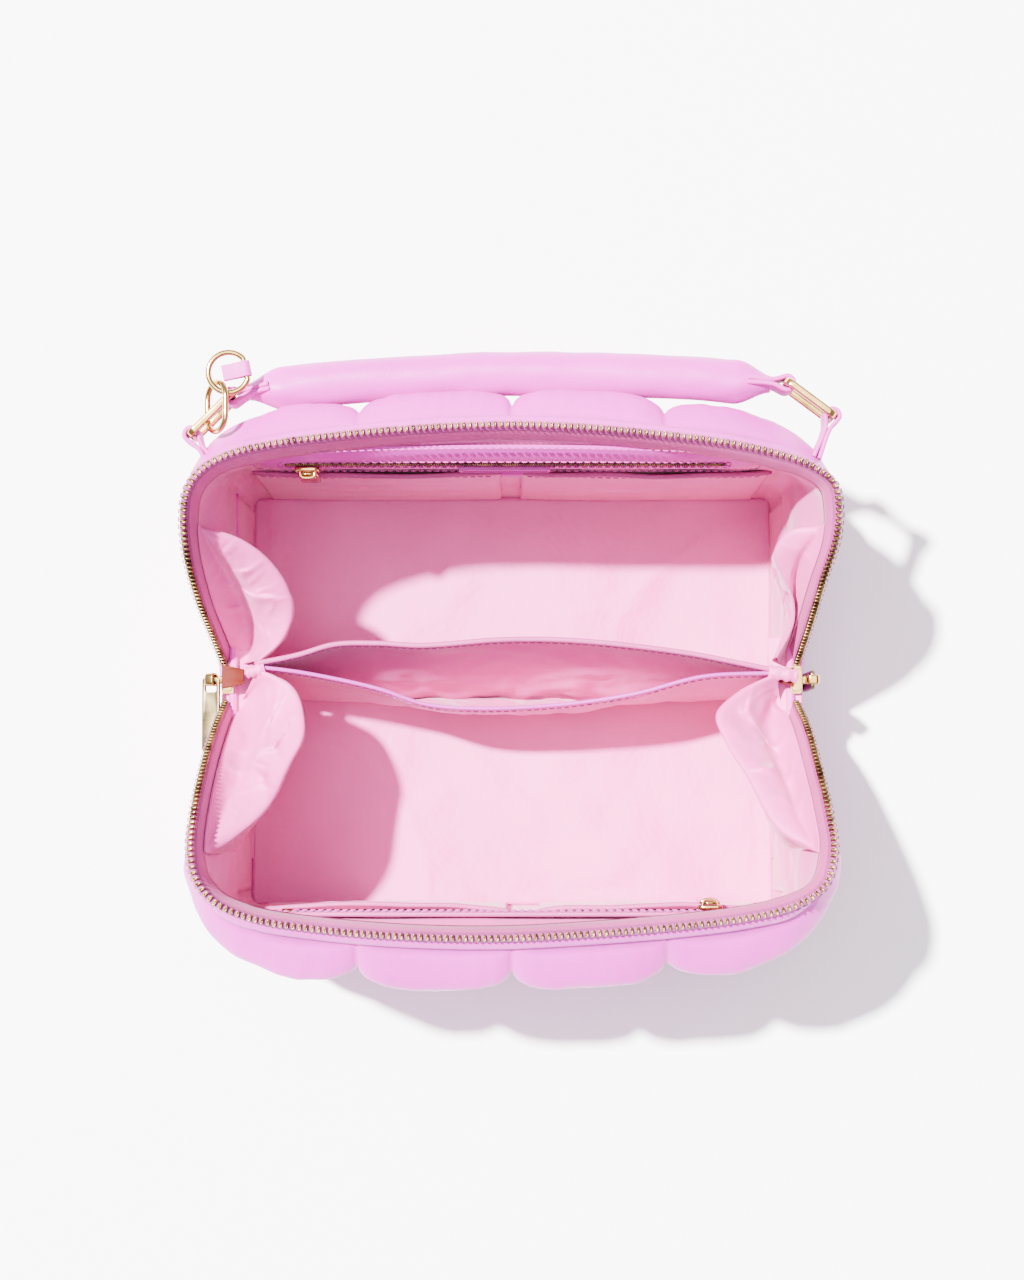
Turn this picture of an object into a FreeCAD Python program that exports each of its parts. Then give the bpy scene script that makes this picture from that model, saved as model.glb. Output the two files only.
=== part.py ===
"""Quilted makeup bag, standing open: tub base, two hinged padded halves, divider pocket,
zips, top handle on rectangular rings and a short chain.

X runs along the length, Y from front to rear, Z up. The origin is the middle of the underside.
"""
import FreeCAD, Part
import math
import os

Vector = FreeCAD.Vector
os.makedirs("parts", exist_ok=True)

# Driving dimensions, mm
SIDE_INNER_X = 121.0        # inner face of the padded side panels
SIDE_OUTER_X = 128.0        # outer face of the padded side panels
WALL_HALF_X = 112.0         # half width of the padded front and rear walls
WALL_FLOOR_Y = 93.0         # inner face of the front and rear linings
WALL_FOOT_Z = 6.0           # underside of the walls
WALL_TOP_Z = 148.0          # top of the walls, below the zip
WAIST_Z = 70.0              # top of the fixed side panels, where the main zip ends
RIM_Z = 161.0               # zip line at the middle of the long sides
PUFF_COLUMNS = 4            # quilted cells across each wall
PUFF_DEPTHS = (16.0, 19.5)         # how far the two lower rows of cells stand out
REAR_TOP_DEPTHS = (10.0, 15.0)     # top row at the rear, end and middle cells, behind the handle
FRONT_TOP_DEPTHS = (15.0, 19.0)    # top row at the front
DIVIDER_TOP_Z = 80.0        # top of the middle pocket
LINING = 0.8                # thickness of the lining cloth
CLEAR = 0.3                 # gap between neighbouring pieces
TEETH_RADIUS = 2.0
GRIP_RADIUS = 9.0
CORE_RADIUS = 4.0
RING_LENGTH = 25.5          # rectangular handle ring, outside
RING_HEIGHT = 18.5
RING_BAR = 2.65             # ring bar, seen from the side
RING_DEPTH = 3.0            # ring bar, seen from above
RING_Z = 139.0              # middle height of the rings
WIRE_RADIUS = 1.2           # chain link and D-ring wire
PULL_PIVOT = Vector(129.6, 6.0, 73.9)   # right main pull; the left one mirrors it
PULL_LENGTH = 31.0
PULL_WIDTH = 8.0
LEFT_PULL_TURN = 90.0       # degrees from hanging, so that it lies level towards the front
LEFT_PULL_ROLL = 70.0       # degrees about its length, so that its broad side faces up

# Rings: middle of each ring and the direction from its tab to its strap, in plan
RING_PLACES = {
    "left": (Vector(-122.0, 110.0, RING_Z), 45.0),
    "right": (Vector(121.0, 116.5, RING_Z), 143.0),
}
GRIP_POINTS = (Vector(-104, 121.5, 134), Vector(0, 128.5, 134), Vector(101, 124.5, 134))

# Zip line of each half from the waist to the middle of the long side (right-hand side)
REAR_RIM = [(124, 15.5, 76), (126, 26, 97), (129, 41, 123), (131, 58, 145), (131.5, 70, 154),
            (129, 79, 157.5), (120, 87, 159), (104, 93, 160), (68, 99, 160.5), (30, 102, RIM_Z)]
FRONT_RIM = [(123, -5, 77), (126, -20, 98), (127.5, -34, 122), (128, -52, 143), (128, -67, 154),
             (126, -77, 157), (118, -86, 159), (104, -92, 160), (77, -96.5, 160.5), (38, -99.5, RIM_Z)]


def export(shape, name):
    shape.exportStep("parts/" + name + ".step")


def box(low, high):
    """Box between two corners given as (x, y, z)."""
    size = [b - a for a, b in zip(low, high)]
    return Part.makeBox(size[0], size[1], size[2], Vector(*low))


def mirror_y(shape):
    return shape.mirror(Vector(0, 0, 0), Vector(0, 1, 0))


def mirror_x(shape):
    return shape.mirror(Vector(0, 0, 0), Vector(1, 0, 0))


def sweep(path_edges, radius):
    """Round rod along a path."""
    path = Part.Wire(path_edges)
    edge = path.Edges[0]
    start = edge.valueAt(edge.FirstParameter)
    tangent = edge.tangentAt(edge.FirstParameter)
    section = Part.Wire([Part.Circle(start, tangent, radius).toShape()])
    return path.makePipeShell([section], True, False)


def arc(first, middle, last):
    return Part.Arc(first, middle, last).toShape()


def prism(points_yz, low_x, high_x):
    """Flat outline in the YZ plane, extruded along X."""
    corners = [Vector(low_x, y, z) for y, z in points_yz]
    face = Part.Face(Part.makePolygon(corners + corners[:1]))
    return face.extrude(Vector(high_x - low_x, 0, 0))


def plate_xz(points_xz, low_y, high_y):
    """Flat outline in the XZ plane, extruded along Y."""
    corners = [Vector(x, low_y, z) for x, z in points_xz]
    face = Part.Face(Part.makePolygon(corners + corners[:1]))
    return face.extrude(Vector(0, high_y - low_y, 0))


def bowed_panel(left, middle, right, thickness, low_z, high_z):
    """Upright sheet whose plan is an arc through three (x, y) points."""
    inner = [Vector(p[0], p[1], low_z) for p in (left, middle, right)]
    outer = [p + Vector(0, thickness, 0) for p in inner]
    edges = [arc(*inner), Part.makeLine(inner[2], outer[2]), arc(*outer[::-1]),
             Part.makeLine(outer[0], inner[0])]
    return Part.Face(Part.Wire(edges)).extrude(Vector(0, 0, high_z - low_z))


def rim_line(rim, shrink_x, shrink_y, drop):
    """Smooth curve along one half's zip line, moved in towards the middle and down."""
    right = [Vector(x * shrink_x, y * shrink_y, z - drop) for x, y, z in rim]
    left = [Vector(-p.x, p.y, p.z) for p in right]
    curve = Part.BSplineCurve()
    curve.interpolate(left + right[::-1])
    return curve.toShape()


def pillow(low_x, high_x, low_z, high_z, front_y, back_y):
    """One quilted cell: a block with its outer edges rounded off."""
    block = box((low_x, front_y, low_z), (high_x, back_y, high_z))
    outer = [e for e in block.Edges if all(abs(v.Point.y - back_y) < 0.01 for v in e.Vertexes)]
    return block.makeFillet(9.0, outer)


def make_base():
    panel = box((-SIDE_OUTER_X, -96, 0), (SIDE_OUTER_X, 96, 3))
    upright = [e for e in panel.Edges if abs(e.tangentAt(e.FirstParameter).z) > 0.9]
    export(panel.makeFillet(22.0, upright), "base_panel")
    export(box((-116, -89, 3.3), (116, 89, 6.3)), "base_board")
    export(box((-116.5, -90, 6.6), (116.5, 90, 7.6)), "floor_lining")
    side = box((SIDE_INNER_X, -86, 3.3), (SIDE_OUTER_X, 86, WAIST_Z))
    outer = [e for e in side.Edges if all(v.Point.x > SIDE_OUTER_X - 0.1 for v in e.Vertexes)]
    side = side.makeFillet(3.0, outer)
    export(side, "side_panel_right")
    export(mirror_x(side), "side_panel_left")
    cloth = box((SIDE_INNER_X - 2.5, -85, 8), (SIDE_INNER_X - 2.5 + LINING, 85, WAIST_Z - 1))
    export(Part.makeCompound([cloth, mirror_x(cloth)]), "side_linings")


def make_divider():
    """Open-topped middle pocket: two bowed sheets that meet at the ends."""
    low_z = 8.0
    export(bowed_panel((-106, 11), (5, 20), (113, 11), 1.6, low_z, DIVIDER_TOP_Z),
           "divider_rear_panel")
    export(bowed_panel((-105, 8), (5, -6), (112, 8), 1.6, low_z, DIVIDER_TOP_Z - 3),
           "divider_front_panel")
    export(bowed_panel((-105, 7.7), (5, -6.3), (112, 7.7), 2.2, DIVIDER_TOP_Z - 2.7, DIVIDER_TOP_Z),
           "divider_binding")
    tube_left = Part.makeCylinder(2.6, 6.4, Vector(-112.9, 9, 75), Vector(1, 0, 0))
    tube_right = Part.makeCylinder(2.6, 4.0, Vector(113.4, 9, 75), Vector(1, 0, 0))
    export(Part.makeCompound([tube_left, tube_right]), "divider_end_tubes")


def make_main_sliders():
    """Sliders of the main zip, parked at the waist, with their pulls and the zip's end tabs."""
    hanging = slider_with_pull(0.0, 0.0)
    export(hanging[0], "main_slider_right")
    export(hanging[1], "main_pull_right")
    # The left pull and its bridge lie along the side, towards the front
    turned = slider_with_pull(-LEFT_PULL_TURN, -LEFT_PULL_ROLL)
    export(mirror_x(turned[0]), "main_slider_left")
    export(mirror_x(turned[1]), "main_pull_left")
    tab = box((113.3, 0, WAIST_Z + 0.4), (119.8, 12, WAIST_Z + 2.0))
    export(Part.makeCompound([tab, mirror_x(tab)]), "zip_end_tabs")


def slider_with_pull(turn, roll):
    """Right-hand slider body with a bridge, and the pull through it, turned about X, then Y."""
    body = box((120.2, 0, WAIST_Z + 0.4), (125.2, 12, WAIST_Z + 7.5))
    body = body.makeFillet(1.2, body.Edges)
    neck = box((124.0, 4.2, WAIST_Z + 0.5), (129.2, 7.8, WAIST_Z + 1.9))
    bridge = box((127.0, 3.9, PULL_PIVOT.z - 2.9), (132.2, 8.1, PULL_PIVOT.z + 2.9))
    slot = box((128.2, 3, PULL_PIVOT.z - 1.4), (131.0, 9, PULL_PIVOT.z + 1.4))
    bridge = bridge.cut(slot)
    pull = main_pull()
    for shape in (bridge, pull):
        shape.rotate(PULL_PIVOT, Vector(1, 0, 0), turn)
        shape.rotate(PULL_PIVOT, Vector(0, 1, 0), roll)
    return body.multiFuse([neck, bridge]), pull


def main_pull():
    """Flat zip pull hanging down from its pivot, broad side facing X; its eye goes round the bridge."""
    x, y, z = PULL_PIVOT
    plate = box((x - 0.8, y - PULL_WIDTH / 2, z - PULL_LENGTH), (x + 0.8, y + PULL_WIDTH / 2, z - 5.5))
    corners = [e for e in plate.Edges if abs(e.tangentAt(e.FirstParameter).x) > 0.9]
    plate = plate.makeFillet(1.5, corners)
    eye = box((x - 0.9, y - 4.0, z - 7), (x + 0.9, y + 4.0, z + 0.9))
    hole = box((x - 1, y - 2.6, z - 5.5), (x + 1, y + 2.6, z - 0.9))
    return plate.fuse(eye.cut(hole))


def make_wall(prefix, rim, top_depths, flip):
    """Padded wall of one half with its zip; flip mirrors it to the front."""
    place = mirror_y if flip else (lambda shape: shape)
    lining = box((-WALL_HALF_X, WALL_FLOOR_Y, WALL_FOOT_Z),
                 (WALL_HALF_X, WALL_FLOOR_Y + LINING, WALL_TOP_Z))
    foam = box((-WALL_HALF_X, 96.1, WALL_FOOT_Z), (WALL_HALF_X, 99.5, WALL_TOP_Z))
    backing = box((-WALL_HALF_X, 99.8, WALL_FOOT_Z), (WALL_HALF_X, 102, WALL_TOP_Z))
    cells = [backing]
    step_x = 2 * WALL_HALF_X / PUFF_COLUMNS
    step_z = (WALL_TOP_Z - WALL_FOOT_Z) / 3
    for column in range(PUFF_COLUMNS):
        at_end = column in (0, PUFF_COLUMNS - 1)
        depths = PUFF_DEPTHS + (top_depths[0] if at_end else top_depths[1],)
        for row, depth in enumerate(depths):
            low_x = -WALL_HALF_X + column * step_x + CLEAR
            low_z = WALL_FOOT_Z + row * step_z + CLEAR
            cells.append(pillow(low_x, low_x + step_x - 2 * CLEAR, low_z, low_z + step_z - 2 * CLEAR,
                                101.5, 101.5 + depth))
    shell = cells[0].multiFuse(cells[1:])
    export(place(lining), prefix + "_lining")
    export(place(foam), prefix + "_foam")
    export(place(shell), prefix + "_outer_shell")
    export(sweep([rim_line(rim, 1.0, 1.0, 0.0)], TEETH_RADIUS), prefix + "_zip_teeth")
    export(sweep([rim_line(rim[1:], 0.972, 0.955, 4.0)], 1.2), prefix + "_zip_tape")
    export(sweep([rim_line(rim[1:], 1.0, 1.045, 7.0)], 1.6), prefix + "_rim_band")


def make_wings(prefix, flip):
    """Soft upper side walls between the waist and the corners."""
    outline = [(26.5, 70.6), (36, 92), (49, 114), (62, 131), (76, 142), (94, 146), (94, 6), (86.6, 6),
               (86.6, 70.6)]
    wing = prism(outline, SIDE_INNER_X, SIDE_OUTER_X)
    if flip:
        wing = mirror_y(wing)
    export(wing, prefix + "_wing_right")
    export(mirror_x(wing), prefix + "_wing_left")


def make_gussets(prefix, left_points, right_points):
    """Loose lining folds that fan out at both ends of a compartment."""
    sheets = []
    for points in (left_points, right_points):
        (ax, ay), (mx, my), (bx, by) = points
        inner = [Vector(ax, ay, 20), Vector(mx, my, 20), Vector(bx, by, 20)]
        outer = [p + Vector(1.2, 0, 0) for p in inner]
        edges = [arc(*inner), Part.makeLine(inner[2], outer[2]), arc(*outer[::-1]),
                 Part.makeLine(outer[0], inner[0])]
        sheets.append(Part.Face(Part.Wire(edges)).extrude(Vector(0, 0, 60)))
    export(Part.makeCompound(sheets), prefix + "_gussets")


def slip_pocket(low_x, high_x, low_z, high_z, depth):
    """Flat open-topped pocket against the rear lining."""
    back_y = WALL_FLOOR_Y - CLEAR
    outer = box((low_x, back_y - depth, low_z), (high_x, back_y, high_z))
    inner = box((low_x + 1, back_y - depth + 1, low_z + 1), (high_x - 1, back_y + 1, high_z + 1))
    return outer.cut(inner)


def make_rear_pockets():
    face_y = WALL_FLOOR_Y - CLEAR
    outline = [(-104, 122), (-96, 115), (92, 115), (100, 122), (100, 139), (92, 147), (-96, 147),
               (-104, 139)]
    frame = plate_xz(outline, face_y - 1.6, face_y)
    slot = box((-94, face_y - 2, 126.6), (88, face_y + 1, 133.4))
    export(frame.cut(slot), "rear_pocket_frame")
    zip_strip = box((-93.6, face_y - 1.0, 127), (87.6, face_y, 133))
    teeth = box((-93.6, face_y - 2.2, 129), (87.6, face_y - 1.0, 131))
    export(zip_strip.fuse(teeth), "rear_pocket_zip")
    export(box((-96, 94.2, 30), (92, 95.7, 145)), "rear_pocket_bag")
    export(box((-22, face_y - 2.7, 117), (16, face_y - 1.9, 125)), "label_patch")
    export(slip_pocket(-109, -5, 22, 105, 6.4), "rear_slip_pocket_left")
    export(slip_pocket(5, 109, 22, 105, 6.4), "rear_slip_pocket_right")
    export(box((-4.5, face_y - 1.4, 98), (4.5, face_y, 108)), "rear_slip_tab")
    make_pocket_slider("rear", Vector(-84, face_y - 2.5, 130), 1)


def make_front_pockets():
    face_y = WALL_FLOOR_Y - CLEAR
    strip = box((-88, face_y - 1.0, 132), (90, face_y, 138))
    teeth = box((-86, face_y - 2.2, 134), (90, face_y - 1.0, 136))
    stop = box((-92.5, face_y - 2.2, 131.5), (-88.3, face_y, 138.5))
    export(mirror_y(Part.makeCompound([strip.fuse(teeth), stop])), "front_pocket_zip")
    export(mirror_y(box((-90, 94.2, 30), (92, 95.7, 145))), "front_pocket_bag")
    export(mirror_y(slip_pocket(-109, -2, 22, 108, 6.4)), "front_slip_pocket_left")
    export(mirror_y(slip_pocket(12, 109, 22, 108, 6.4)), "front_slip_pocket_right")
    make_pocket_slider("front", Vector(80, -(face_y - 2.5), 135), -1)


def make_pocket_slider(prefix, place, side):
    """Small slider on a pocket zip with a hanging pull; side is +1 at the rear, -1 at the front."""
    body = box((-5, -1.8, -3.8), (5, 0, 3.8))
    body = body.makeFillet(0.7, body.Edges)
    bridge = box((-3, -4.6, -2.6), (3, -1.5, 2.6)).cut(box((-4, -3.6, -1.3), (4, -1.75, 1.3)))
    slider = body.fuse(bridge)
    pull = box((-4, -3.35, -22), (4, -2.0, -5.0))
    corners = [e for e in pull.Edges if abs(e.tangentAt(e.FirstParameter).y) > 0.9]
    pull = pull.makeFillet(1.4, corners)
    eye = box((-4.6, -3.2, -6.5), (4.6, -2.1, 0.55)).cut(box((-3.4, -4, -5), (3.4, -2, -0.55)))
    pull = pull.fuse(eye)
    for shape, name in ((slider, "_pocket_slider"), (pull, "_pocket_pull")):
        if side < 0:
            shape = mirror_y(shape)
        shape.translate(place)
        export(shape, prefix + name)


def ring_shape():
    """Upright rectangular ring, long side along X, middle at the origin."""
    outer = box((-RING_LENGTH / 2, -RING_DEPTH / 2, -RING_HEIGHT / 2),
                (RING_LENGTH / 2, RING_DEPTH / 2, RING_HEIGHT / 2))
    rounded = [e for e in outer.Edges if abs(e.tangentAt(e.FirstParameter).y) > 0.9]
    outer = outer.makeFillet(2.5, rounded)
    hole_x = RING_LENGTH / 2 - RING_BAR
    hole_z = RING_HEIGHT / 2 - RING_BAR
    ring = outer.cut(box((-hole_x, -RING_DEPTH, -hole_z), (hole_x, RING_DEPTH, hole_z)))
    rims = [e for e in ring.Edges if e.Length > 8 and abs(e.tangentAt(e.FirstParameter).y) < 0.1]
    return ring.makeFillet(0.6, rims)


def strap_loop(end, towards):
    """Leather loop round a ring's upright end bar, with a tail to another point."""
    inner_radius = 2.4
    outer_radius = 3.6
    height = 12.4
    foot = Vector(end.x, end.y, end.z - height / 2)
    loop = Part.makeCylinder(outer_radius, height, foot)
    direction = Vector(towards.x - end.x, towards.y - end.y, 0)
    tail = box((2.5, -1.3, -height / 2), (direction.Length, 1.3, height / 2))
    tail.rotate(Vector(0, 0, 0), Vector(0, 0, 1), math.degrees(math.atan2(direction.y, direction.x)))
    tail.translate(end)
    return loop.fuse(tail).cut(Part.makeCylinder(inner_radius, height, foot))


def make_handle():
    grip = sweep([arc(*GRIP_POINTS)], GRIP_RADIUS)
    round_ends = [e for e in grip.Edges if abs(e.Length - 2 * math.pi * GRIP_RADIUS) < 0.5 and e.isClosed()]
    grip = grip.makeFillet(5.0, round_ends)
    core = sweep([arc(*GRIP_POINTS)], CORE_RADIUS)
    keep = box((-96, 100, 100), (93, 150, 160))
    core = core.common(keep)
    hollow = sweep([arc(*GRIP_POINTS)], CORE_RADIUS + CLEAR).common(box((-97, 100, 100), (94, 150, 160)))
    export(grip.cut(hollow), "handle_grip")
    export(core, "handle_core")
    tabs = []
    bar_offset = RING_LENGTH / 2 - RING_BAR / 2
    for side, (middle, angle) in RING_PLACES.items():
        ring = ring_shape()
        ring.rotate(Vector(0, 0, 0), Vector(0, 0, 1), angle)
        ring.translate(middle)
        export(ring, "ring_" + side)
        along = Vector(math.cos(math.radians(angle)), math.sin(math.radians(angle)), 0)
        strap_bar = middle + along * bar_offset
        tab_bar = middle - along * bar_offset
        grip_end = GRIP_POINTS[0] if side == "left" else GRIP_POINTS[-1]
        strap = strap_loop(strap_bar, Vector(grip_end.x, grip_end.y, strap_bar.z))
        export(strap.cut(grip), "handle_strap_" + side)
        corner = Vector(math.copysign(125.5, tab_bar.x), 95.5, tab_bar.z)
        tabs.append(strap_loop(tab_bar, corner))
    export(Part.makeCompound(tabs), "ring_tabs")


def make_chain():
    """Oval link through the left ring's upper bar, a D-ring through the link, a tab on it."""
    half_length = 10.0
    half_width = 6.6
    tilt = 50.0
    middle = Vector(-119.5, 112.5, RING_Z + RING_HEIGHT / 2 - RING_BAR / 2 + 1.2)
    straight = half_length - half_width
    corners = [Vector(half_width, -straight, 0), Vector(half_width, straight, 0),
               Vector(-half_width, straight, 0), Vector(-half_width, -straight, 0)]
    edges = [Part.makeLine(corners[0], corners[1]), arc(corners[1], Vector(0, half_length, 0), corners[2]),
             Part.makeLine(corners[2], corners[3]), arc(corners[3], Vector(0, -half_length, 0), corners[0])]
    link = sweep(edges, WIRE_RADIUS)
    link.rotate(Vector(0, 0, 0), Vector(0, 1, 0), -tilt)
    link.translate(middle)
    export(link, "chain_link")
    centre = Vector(-114.5, 126.2, 150.2)
    radius = 8.2
    start = math.radians(-32.0)
    end = math.radians(32.0)
    first = Vector(radius * math.cos(start), radius * math.sin(start), 0)
    last = Vector(radius * math.cos(end), radius * math.sin(end), 0)
    bow = arc(last, Vector(-radius, 0, 0), first)
    ring = sweep([bow], WIRE_RADIUS)
    ring = ring.fuse(Part.makeCylinder(WIRE_RADIUS, (last - first).Length, first, last - first))
    for corner in (first, last):
        ring = ring.fuse(Part.makeSphere(WIRE_RADIUS, corner))
    bar = Vector(radius * math.cos(start), 0, 0)
    loop = Part.makeCylinder(2.3, 6.4, bar + Vector(0, -3.2, 0), Vector(0, 1, 0))
    tail = box((bar.x - 9.5, -3.2, -0.9), (bar.x - 1.8, 3.2, 0.9))
    hole = Part.makeCylinder(WIRE_RADIUS + 0.1, 8, bar + Vector(0, -4, 0), Vector(0, 1, 0))
    tab = loop.fuse(tail).cut(hole)
    for shape, name in ((ring, "d_ring"), (tab, "hang_tab")):
        shape.rotate(Vector(0, 0, 0), Vector(0, 0, 1), 12.0)
        shape.translate(centre)
        export(shape, name)


make_base()
make_divider()
make_main_sliders()
make_wall("rear", REAR_RIM, REAR_TOP_DEPTHS, False)
make_wall("front", FRONT_RIM, FRONT_TOP_DEPTHS, True)
make_wings("rear", False)
make_wings("front", True)
make_gussets("rear", ((-117, 66), (-97, 36), (-108, 15)), ((115, 68), (106, 34), (112, 15)))
make_gussets("front", ((-109, -12), (-92, -36), (-117, -66)), ((110, -12), (94, -36), (115, -66)))
make_rear_pockets()
make_front_pockets()
make_handle()
make_chain()
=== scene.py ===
from math import atan2, copysign, cos, exp, pi, radians, sin

import bmesh
import bpy
import numpy as np
from mathutils import Matrix, Vector, noise
from numpy.linalg import norm


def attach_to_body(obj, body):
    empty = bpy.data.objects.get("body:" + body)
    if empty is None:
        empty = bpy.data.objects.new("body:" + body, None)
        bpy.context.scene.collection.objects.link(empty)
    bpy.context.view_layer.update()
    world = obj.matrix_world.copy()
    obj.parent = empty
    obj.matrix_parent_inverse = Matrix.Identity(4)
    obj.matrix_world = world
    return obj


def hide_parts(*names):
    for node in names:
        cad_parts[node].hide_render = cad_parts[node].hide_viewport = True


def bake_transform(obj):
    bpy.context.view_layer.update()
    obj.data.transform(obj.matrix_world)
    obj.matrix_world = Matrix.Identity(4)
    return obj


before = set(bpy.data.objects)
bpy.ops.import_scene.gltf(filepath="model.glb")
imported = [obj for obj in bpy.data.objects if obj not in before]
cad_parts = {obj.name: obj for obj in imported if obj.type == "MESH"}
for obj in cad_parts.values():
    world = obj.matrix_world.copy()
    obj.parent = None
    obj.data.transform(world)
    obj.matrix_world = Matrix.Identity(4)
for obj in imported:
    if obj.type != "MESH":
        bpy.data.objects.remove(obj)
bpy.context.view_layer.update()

MM = 0.001
WALL_SEAMS_Z = (5.0, 54.0, 103.0)  # horizontal quilting seams, mm
ROW_DEPTHS = (17.0, 21.0)  # how far the two lower rows of cells stand out, mm
SEAM_SHARE = 0.48  # depth left at a quilting seam, as a share of the cell's
CELL_SEAM = 62.0  # vertical seam either side of the middle one, mm
CORNER_END = 151.0  # where the end cell stops, round the corner, mm
OUTER = (102.0, 76.0, 24.0)  # corner centre x, y and radius of the outer plan
INNER = (114.0, 88.5, 4.5)  # the same for the lining at the floor
RIM = (102.0, 76.0)  # corner centre of the zip line in plan
TUCK_Z = 62.0  # soft side walls end here, beside the fixed side panels
TOOTH_PITCH = 2.5
WALL_Y = 93.4  # inner face of the long walls, mm
ZIP_FACE_Y = 91.8  # pocket zips lie this far from the middle, mm
TAPE_WIDTH = 16.5
FACING_WIDTH = 13.0
LINING_HEIGHT = 145.0
SIDE_LENGTH = 174.0  # fixed side panels, mm
SLIDER_X, SLIDER_Y = 122.7, 6.0  # main sliders at the waist
RING_WIDTH, RING_HEIGHT, RING_BAR = 25.5, 18.5, 2.65
WAVE_SCALE = 0.3142  # wave texture scale for a thread one metre wide
UP = np.array([0.0, 0.0, 1.0])
SUN_TRAVEL = (0.42, -0.25, -1.0)

# The zip line of each half from the left waist to the right waist, mm
REAR_RIM = [(-124.5, 13, 71), (-127, 24, 93), (-130, 38, 121), (-132, 55, 144), (-132, 68, 153),
            (-130, 78, 157), (-125, 85, 159), (-115, 91, 160), (-98, 95.5, 160), (-68, 99.5, 160.5),
            (-38, 102, 161), (-3, 103.5, 161), (27, 102.5, 161), (56, 100, 160.5), (85, 96.5, 160),
            (104, 92.5, 160), (119, 87.5, 159.5), (128.5, 80.5, 158), (131, 72, 155), (131, 60, 148),
            (127.5, 44, 130), (125, 26, 97), (123, 13, 71)]
FRONT_RIM = [(-123.5, -4, 73), (-125.5, -16, 95), (-127, -33, 122), (-128, -52, 144), (-128, -67, 154),
             (-125.5, -77, 157.5), (-118, -86, 159.5), (-104, -92.5, 160), (-77, -97, 160.5),
             (-39, -100, 161), (-5, -100.5, 161), (27, -99, 161), (65, -96, 160.5), (93, -92.5, 160),
             (111, -88, 160), (123.5, -80, 158.5), (128, -67, 154), (127.5, -50, 141),
             (126, -32, 120), (124.5, -15, 95), (122.5, -4, 73)]


# ----- materials

def set_inputs(node, **values):
    """Constants on a node's sockets; an underscore stands for a space in the socket's name."""
    for socket, value in values.items():
        node.inputs[socket.replace("_", " ")].default_value = value


class Look:
    """A material in the making, with short calls for the nodes it is built from."""

    def __init__(self, name):
        self.material = bpy.data.materials.new(name)
        self.material.use_nodes = True
        self.nodes = self.material.node_tree.nodes
        self.link = self.material.node_tree.links.new
        self.shader = self.nodes["Principled BSDF"]
        self.normal = None

    def node(self, kind, **values):
        node = self.nodes.new("ShaderNode" + kind)
        set_inputs(node, **values)
        return node

    def coordinates(self, scale=(1, 1, 1)):
        """Object coordinates in a Mapping node with the given scale."""
        mapping = self.node("Mapping", Scale=scale)
        self.link(self.node("TexCoord").outputs["Object"], mapping.inputs["Vector"])
        return mapping.outputs["Vector"]

    def noise(self, vector, scale, detail, roughness=0.5):
        node = self.node("TexNoise", Scale=scale, Detail=detail, Roughness=roughness)
        self.link(vector, node.inputs["Vector"])
        return node.outputs["Fac"]

    def colour(self, factor, *stops):
        node = self.node("ValToRGB")
        for element, (position, colour) in zip(node.color_ramp.elements, stops):
            element.position = position
            element.color = colour
        self.link(factor, node.inputs["Fac"])
        self.link(node.outputs["Color"], self.shader.inputs["Base Color"])

    def roughness(self, factor, low, high):
        node = self.node("MapRange", To_Min=low, To_Max=high)
        self.link(factor, node.inputs["Value"])
        self.link(node.outputs["Result"], self.shader.inputs["Roughness"])

    def bump(self, height, distance, strength):
        """Bump over the ones already there."""
        node = self.node("Bump", Distance=distance, Strength=strength)
        self.link(height, node.inputs["Height"])
        if self.normal is not None:
            self.link(self.normal, node.inputs["Normal"])
        self.normal = node.outputs["Normal"]
        self.link(self.normal, self.shader.inputs["Normal"])


def leather(name, light, dark, roughness=0.42, grain=0.5, gloss=0.3):
    """Soft smooth leather: slow colour drift, pebble grain, fine creases."""
    look = Look(name)
    vector = look.coordinates()
    look.colour(look.noise(vector, 14, 4), (0.3, dark), (0.68, light))
    pebble = look.node("TexVoronoi")
    pebble.feature = "SMOOTH_F1"
    set_inputs(pebble, Scale=1150)
    look.link(vector, pebble.inputs["Vector"])
    crease = look.noise(vector, 70, 5, 0.6)
    look.roughness(crease, roughness - 0.06, roughness + 0.1)
    look.bump(crease, 0.0012, 0.25 * grain)
    look.bump(pebble.outputs["Distance"], 0.00025, 0.5 * grain)
    set_inputs(look.shader, Sheen_Weight=0.2 * gloss, Sheen_Roughness=0.4, Specular_IOR_Level=gloss)
    return look.material


def cloth(name, light, dark, thread=0.0004, sheen=0.35, roughness=0.5, wrinkle=0.35):
    """Plain weave: crossing threads along the three object axes, slow drift and soft wrinkles."""
    look = Look(name)
    vector = look.coordinates()
    look.colour(look.noise(vector, 18, 3), (0.28, dark), (0.7, light))
    weave = None
    for direction in "XYZ":
        wave = look.node("TexWave", Scale=WAVE_SCALE / thread, Distortion=0.6, Detail=1.0)
        wave.bands_direction = direction
        look.link(vector, wave.inputs["Vector"])
        height = wave.outputs["Fac"]
        if weave is not None:
            add = look.node("Math")
            look.link(weave, add.inputs[0])
            look.link(height, add.inputs[1])
            height = add.outputs["Value"]
        weave = height
    look.bump(look.noise(look.coordinates((1, 1, 0.45)), 38, 4, 0.55), 0.004, wrinkle)
    look.bump(weave, 0.0001, 0.35)
    set_inputs(look.shader, Roughness=roughness, Sheen_Weight=sheen, Sheen_Roughness=0.35)
    return look.material


def metal(name, light, dark, roughness):
    """Plated metal with faint smears and rubbed patches."""
    look = Look(name)
    smear = look.noise(look.coordinates(), 160, 4)
    look.colour(smear, (0.3, dark), (0.62, light))
    look.roughness(smear, roughness * 0.7, roughness * 1.5)
    set_inputs(look.shader, Metallic=1.0)
    look.bump(smear, 0.0001, 0.15)
    return look.material


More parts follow.
